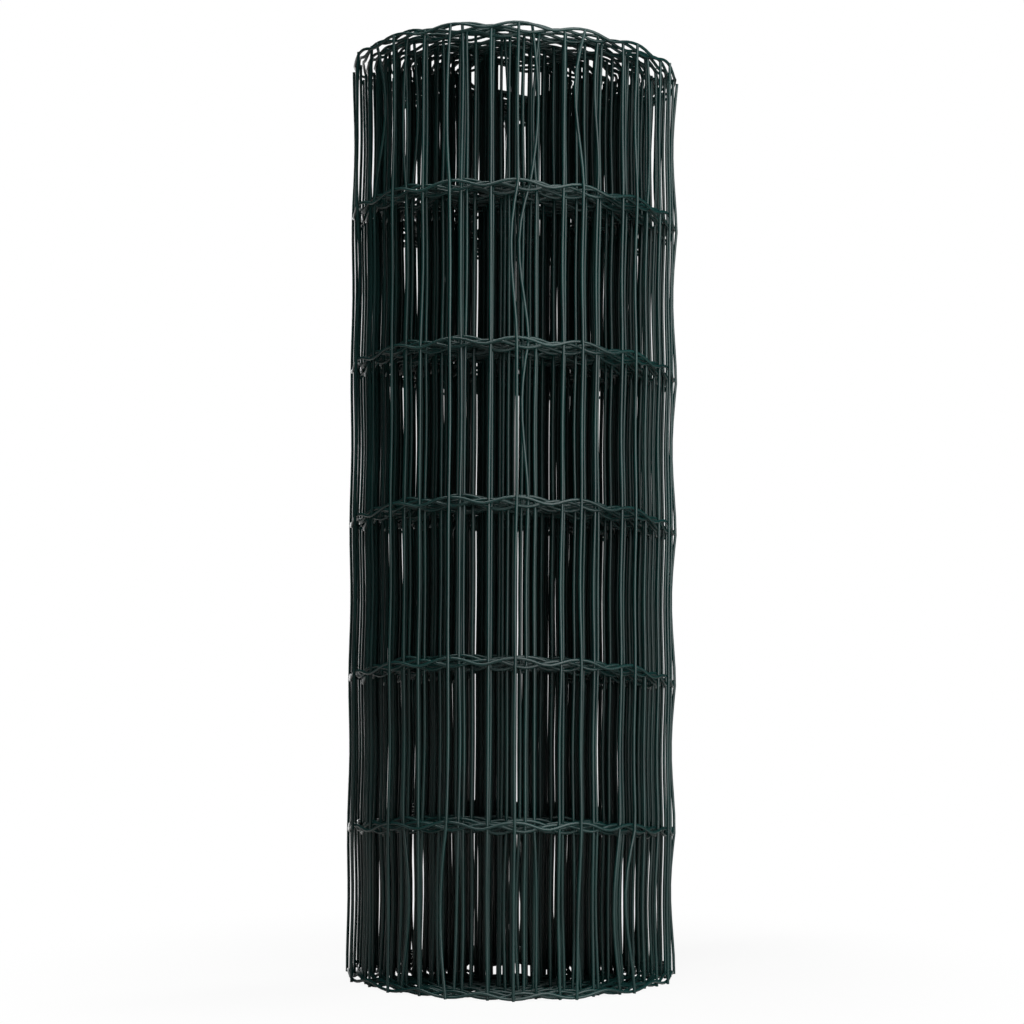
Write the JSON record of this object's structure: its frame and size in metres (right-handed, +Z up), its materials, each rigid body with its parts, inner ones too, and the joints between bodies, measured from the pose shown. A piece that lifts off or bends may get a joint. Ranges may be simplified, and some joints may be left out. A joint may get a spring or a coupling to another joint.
{
  "type": "roll of wire fencing",
  "caption": "Roll of green coated welded wire fencing that stands on its end, with crimped line wires round it and an open bore.",
  "frame": {"origin": "middle of the lower end, on the surface the roll stands on", "axes": "+Z up along the roll's axis, -Y towards the camera of the picture"},
  "size_m": [0.334, 0.3339, 0.922],
  "materials": {
    "coated_wire": "satin"
  },
  "bodies": {
    "root": {"mesh_roll": "coated_wire"}
  },
  "joints": []
}
